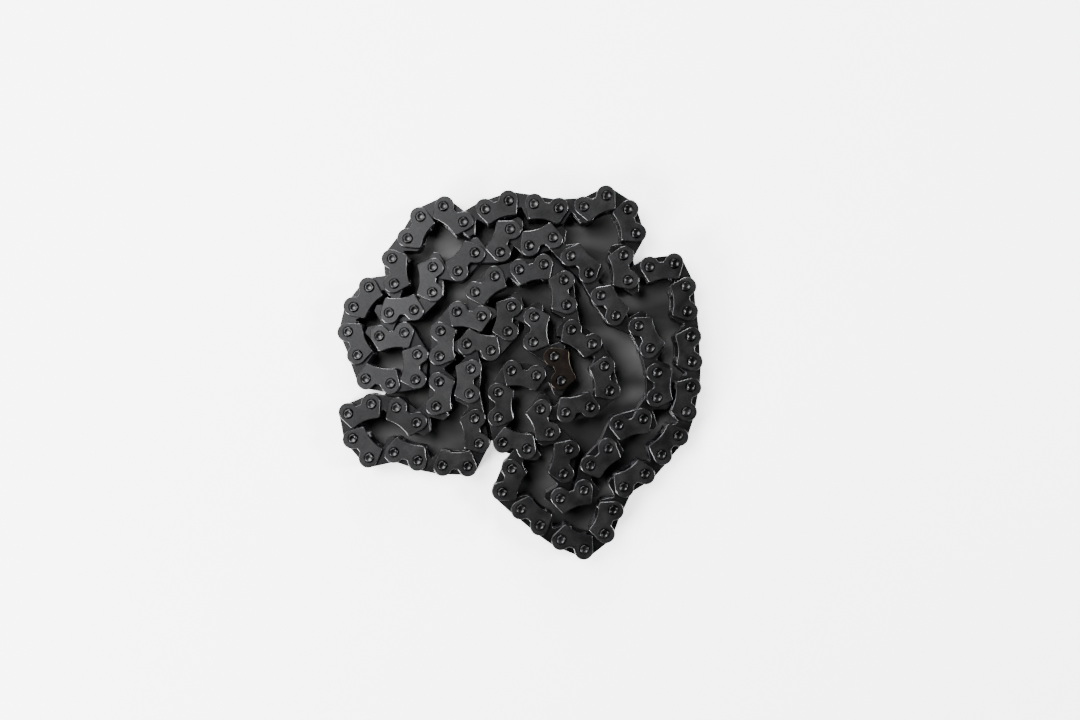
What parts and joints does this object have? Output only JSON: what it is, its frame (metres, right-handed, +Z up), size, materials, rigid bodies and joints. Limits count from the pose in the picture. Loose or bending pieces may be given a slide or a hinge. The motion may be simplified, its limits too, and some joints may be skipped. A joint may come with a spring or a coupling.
{
  "type": "silent drive chain",
  "caption": "Endless silent drive chain of notched guide plates and toothed inner plates on riveted pins, lying on its side in a loose heap.",
  "frame": {"origin": "on the surface that the chain lies on, under the middle of its bounding box", "axes": "+Z up, along every pin; +X to the right and +Y to the far side of the heap, seen from above"},
  "size_m": [0.092, 0.0942, 0.008],
  "materials": {
    "guide_plate": "matt dark grey steel, blanked and tumbled, brighter along its edges",
    "tooth_plate": "matt dark grey blanked steel, a little darker than the guide plates",
    "pin": "dark steel with dished, riveted ends and a smooth chamfer"
  },
  "bodies": {
    "chain_rest": {"chain_section_003_to_005": "guide_plate", "chain_section_009_to_013": "guide_plate", "chain_section_017_to_023": "guide_plate", "chain_section_027_to_031": "guide_plate", "chain_section_035_to_039": "guide_plate", "chain_section_040_to_045": "guide_plate", "chain_section_046_to_051": "guide_plate", "chain_section_055_to_059": "guide_plate", "chain_section_063_to_069": "guide_plate", "chain_section_070_to_075": "guide_plate", "chain_section_079_to_081": "guide_plate", "chain_section_085_to_091": "guide_plate", "chain_section_095_to_103": "guide_plate", "chain_section_107_to_111": "guide_plate", "chain_section_115_to_119": "guide_plate"},
    "row_006": {"inner_row_006": "tooth_plate"},
    "guide_007": {"guide_link_007": "guide_plate"},
    "row_008": {"inner_row_008": "tooth_plate"},
    "row_014": {"inner_row_014_plate_1": "tooth_plate", "inner_row_014_plate_2": "tooth_plate", "inner_row_014_plate_3": "tooth_plate"},
    "guide_015": {"guide_link_015_bottom_plate": "guide_plate", "guide_link_015_link_plate_1": "tooth_plate", "guide_link_015_link_plate_2": "tooth_plate", "guide_link_015_top_plate": "guide_plate", "guide_link_015_pin_1": "pin", "guide_link_015_pin_2": "pin"},
    "row_016": {"inner_row_016_plate_1": "tooth_plate", "inner_row_016_plate_2": "tooth_plate", "inner_row_016_plate_3": "tooth_plate"},
    "row_024": {"inner_row_024": "tooth_plate"},
    "guide_025": {"guide_link_025": "guide_plate"},
    "row_026": {"inner_row_026": "tooth_plate"},
    "row_032": {"inner_row_032": "tooth_plate"},
    "guide_033": {"guide_link_033": "guide_plate"},
    "row_034": {"inner_row_034": "tooth_plate"},
    "row_052": {"inner_row_052": "tooth_plate"},
    "guide_053": {"guide_link_053": "guide_plate"},
    "row_054": {"inner_row_054": "tooth_plate"},
    "row_060": {"inner_row_060": "tooth_plate"},
    "guide_061": {"guide_link_061": "guide_plate"},
    "row_062": {"inner_row_062": "tooth_plate"},
    "row_076": {"inner_row_076": "tooth_plate"},
    "guide_077": {"guide_link_077": "guide_plate"},
    "row_078": {"inner_row_078": "tooth_plate"},
    "row_082": {"inner_row_082": "tooth_plate"},
    "guide_083": {"guide_link_083": "guide_plate"},
    "row_084": {"inner_row_084": "tooth_plate"},
    "row_092": {"inner_row_092": "tooth_plate"},
    "guide_093": {"guide_link_093": "guide_plate"},
    "row_094": {"inner_row_094": "tooth_plate"},
    "row_104": {"inner_row_104": "tooth_plate"},
    "guide_105": {"guide_link_105": "guide_plate"},
    "row_106": {"inner_row_106": "tooth_plate"},
    "row_112": {"inner_row_112": "tooth_plate"},
    "guide_113": {"guide_link_113": "guide_plate"},
    "row_114": {"inner_row_114": "tooth_plate"},
    "row_120": {"inner_row_120": "tooth_plate"},
    "guide_001": {"guide_link_001": "guide_plate"},
    "row_002": {"inner_row_002": "tooth_plate"}
  },
  "joints": [
    {"name": "pivot_006", "type": "hinge", "parent": "chain_rest", "child": "row_006", "pos_m": [-0.00275, 0.04324, 0.004], "axis": [0, 0, 1], "range_deg": [-4, 10]},
    {"name": "pivot_007", "type": "hinge", "parent": "row_006", "child": "guide_007", "pos_m": [0.00355, 0.0424, 0.004], "axis": [0, 0, 1], "range_deg": [-15, 6]},
    {"name": "pivot_008", "type": "hinge", "parent": "guide_007", "child": "row_008", "pos_m": [0.00981, 0.04135, 0.004], "axis": [0, 0, 1], "range_deg": [-0.5, 0.2]},
    {"name": "pivot_014", "type": "hinge", "parent": "chain_rest", "child": "row_014", "pos_m": [0.0272, 0.02323, 0.004], "axis": [0, 0, 1], "range_deg": [-20, 3]},
    {"name": "pivot_015", "type": "hinge", "parent": "row_014", "child": "guide_015", "pos_m": [0.03263, 0.02652, 0.004], "axis": [0, 0, 1], "range_deg": [-6, 40]},
    {"name": "pivot_016", "type": "hinge", "parent": "guide_015", "child": "row_016", "pos_m": [0.03892, 0.02738, 0.004], "axis": [0, 0, 1], "range_deg": [-22.4, 3.4]},
    {"name": "pivot_024", "type": "hinge", "parent": "chain_rest", "child": "row_024", "pos_m": [0.03567, -0.02069, 0.004], "axis": [0, 0, 1], "range_deg": [-19, 4]},
    {"name": "pivot_025", "type": "hinge", "parent": "row_024", "child": "guide_025", "pos_m": [0.03152, -0.02549, 0.004], "axis": [0, 0, 1], "range_deg": [-7.6, 35.8]},
    {"name": "pivot_026", "type": "hinge", "parent": "guide_025", "child": "row_026", "pos_m": [0.02611, -0.02882, 0.004], "axis": [0, 0, 1], "range_deg": [-14.5, 3.1]},
    {"name": "pivot_032", "type": "hinge", "parent": "chain_rest", "child": "row_032", "pos_m": [0.00028, -0.03436, 0.004], "axis": [0, 0, 1], "range_deg": [-11, 0]},
    {"name": "pivot_033", "type": "hinge", "parent": "row_032", "child": "guide_033", "pos_m": [-0.00443, -0.0301, 0.004], "axis": [0, 0, 1], "range_deg": [0, 32.6]},
    {"name": "pivot_034", "type": "hinge", "parent": "guide_033", "child": "row_034", "pos_m": [-0.002, -0.02423, 0.004], "axis": [0, 0, 1], "range_deg": [-39.6, 0]},
    {"name": "pivot_052", "type": "hinge", "parent": "chain_rest", "child": "row_052", "pos_m": [-0.01028, -0.01785, 0.004], "axis": [0, 0, 1], "range_deg": [-9, 0]},
    {"name": "pivot_053", "type": "hinge", "parent": "row_052", "child": "guide_053", "pos_m": [-0.01314, -0.02352, 0.004], "axis": [0, 0, 1], "range_deg": [0, 29.7]},
    {"name": "pivot_054", "type": "hinge", "parent": "guide_053", "child": "row_054", "pos_m": [-0.01949, -0.02335, 0.004], "axis": [0, 0, 1], "range_deg": [-37.5, 0]},
    {"name": "pivot_060", "type": "hinge", "parent": "chain_rest", "child": "row_060", "pos_m": [-0.03734, -0.00792, 0.004], "axis": [0, 0, 1], "range_deg": [-8, 10]},
    {"name": "pivot_061", "type": "hinge", "parent": "row_060", "child": "guide_061", "pos_m": [-0.03106, -0.00887, 0.004], "axis": [0, 0, 1], "range_deg": [-17.3, 13.9]},
    {"name": "pivot_062", "type": "hinge", "parent": "guide_061", "child": "row_062", "pos_m": [-0.02593, -0.01261, 0.004], "axis": [0, 0, 1], "range_deg": [-2, 2.4]},
    {"name": "pivot_076", "type": "hinge", "parent": "chain_rest", "child": "row_076", "pos_m": [0.01818, 0.00713, 0.004], "axis": [0, 0, 1], "range_deg": [-20, 3]},
    {"name": "pivot_077", "type": "hinge", "parent": "row_076", "child": "guide_077", "pos_m": [0.02127, 0.00159, 0.004], "axis": [0, 0, 1], "range_deg": [-6, 40]},
    {"name": "pivot_078", "type": "hinge", "parent": "guide_077", "child": "row_078", "pos_m": [0.02261, -0.00462, 0.004], "axis": [0, 0, 1], "range_deg": [-20, 3]},
    {"name": "pivot_082", "type": "hinge", "parent": "chain_rest", "child": "row_082", "pos_m": [0.00751, -0.01512, 0.004], "axis": [0, 0, 1], "range_deg": [-9, 0]},
    {"name": "pivot_083", "type": "hinge", "parent": "row_082", "child": "guide_083", "pos_m": [0.01235, -0.01923, 0.004], "axis": [0, 0, 1], "range_deg": [-7.9, 0]},
    {"name": "pivot_084", "type": "hinge", "parent": "guide_083", "child": "row_084", "pos_m": [0.01094, -0.02543, 0.004], "axis": [0, 0, 1], "range_deg": [0, 38.9]},
    {"name": "pivot_092", "type": "hinge", "parent": "chain_rest", "child": "row_092", "pos_m": [0.03453, -0.00004, 0.004], "axis": [0, 0, 1], "range_deg": [-3, 21]},
    {"name": "pivot_093", "type": "hinge", "parent": "row_092", "child": "guide_093", "pos_m": [0.0328, 0.00607, 0.004], "axis": [0, 0, 1], "range_deg": [-39.9, 5.7]},
    {"name": "pivot_094", "type": "hinge", "parent": "guide_093", "child": "row_094", "pos_m": [0.02993, 0.01174, 0.004], "axis": [0, 0, 1], "range_deg": [-2.4, 16.2]},
    {"name": "pivot_104", "type": "hinge", "parent": "chain_rest", "child": "row_104", "pos_m": [-0.01565, 0.02551, 0.004], "axis": [0, 0, 1], "range_deg": [-3, 14]},
    {"name": "pivot_105", "type": "hinge", "parent": "row_104", "child": "guide_105", "pos_m": [-0.02192, 0.02652, 0.004], "axis": [0, 0, 1], "range_deg": [-4.2, 0.9]},
    {"name": "pivot_106", "type": "hinge", "parent": "guide_105", "child": "row_106", "pos_m": [-0.02205, 0.02018, 0.004], "axis": [0, 0, 1], "range_deg": [-26.1, 5.6]},
    {"name": "pivot_112", "type": "hinge", "parent": "chain_rest", "child": "row_112", "pos_m": [-0.02624, -0.00177, 0.004], "axis": [0, 0, 1], "range_deg": [-20, 0]},
    {"name": "pivot_113", "type": "hinge", "parent": "row_112", "child": "guide_113", "pos_m": [-0.03252, -0.00273, 0.004], "axis": [0, 0, 1], "range_deg": [0, 40.2]},
    {"name": "pivot_114", "type": "hinge", "parent": "guide_113", "child": "row_114", "pos_m": [-0.03877, -0.00159, 0.004], "axis": [0, 0, 1], "range_deg": [-21, 0]},
    {"name": "pivot_120", "type": "hinge", "parent": "chain_rest", "child": "row_120", "pos_m": [-0.03212, 0.0287, 0.004], "axis": [0, 0, 1], "range_deg": [-22, 4]},
    {"name": "pivot_001", "type": "hinge", "parent": "row_120", "child": "guide_001", "pos_m": [-0.02823, 0.03371, 0.004], "axis": [0, 0, 1], "range_deg": [-5.6, 30.8]},
    {"name": "pivot_002", "type": "hinge", "parent": "guide_001", "child": "row_002", "pos_m": [-0.025, 0.03919, 0.004], "axis": [0, 0, 1], "range_deg": [-0.9, 4.7]}
  ],
  "couplings": [
    {"joint": "pivot_007", "follows": "pivot_006", "ratio": -1.5},
    {"joint": "pivot_008", "follows": "pivot_006", "ratio": -0.05},
    {"joint": "pivot_015", "follows": "pivot_014", "ratio": -2},
    {"joint": "pivot_016", "follows": "pivot_014", "ratio": 1.12},
    {"joint": "pivot_025", "follows": "pivot_024", "ratio": -1.88},
    {"joint": "pivot_026", "follows": "pivot_024", "ratio": 0.76},
    {"joint": "pivot_033", "follows": "pivot_032", "ratio": -2.96},
    {"joint": "pivot_034", "follows": "pivot_032", "ratio": 3.6},
    {"joint": "pivot_053", "follows": "pivot_052", "ratio": -3.29},
    {"joint": "pivot_054", "follows": "pivot_052", "ratio": 4.16},
    {"joint": "pivot_061", "follows": "pivot_060", "ratio": -1.73},
    {"joint": "pivot_062", "follows": "pivot_060", "ratio": 0.24},
    {"joint": "pivot_077", "follows": "pivot_076", "ratio": -2},
    {"joint": "pivot_078", "follows": "pivot_076", "ratio": 1},
    {"joint": "pivot_083", "follows": "pivot_082", "ratio": 0.87},
    {"joint": "pivot_084", "follows": "pivot_082", "ratio": -4.32},
    {"joint": "pivot_093", "follows": "pivot_092", "ratio": -1.9},
    {"joint": "pivot_094", "follows": "pivot_092", "ratio": 0.77},
    {"joint": "pivot_105", "follows": "pivot_104", "ratio": -0.3},
    {"joint": "pivot_106", "follows": "pivot_104", "ratio": -1.86},
    {"joint": "pivot_113", "follows": "pivot_112", "ratio": -2.01},
    {"joint": "pivot_114", "follows": "pivot_112", "ratio": 1.05},
    {"joint": "pivot_001", "follows": "pivot_120", "ratio": -1.4},
    {"joint": "pivot_002", "follows": "pivot_120", "ratio": -0.21}
  ]
}
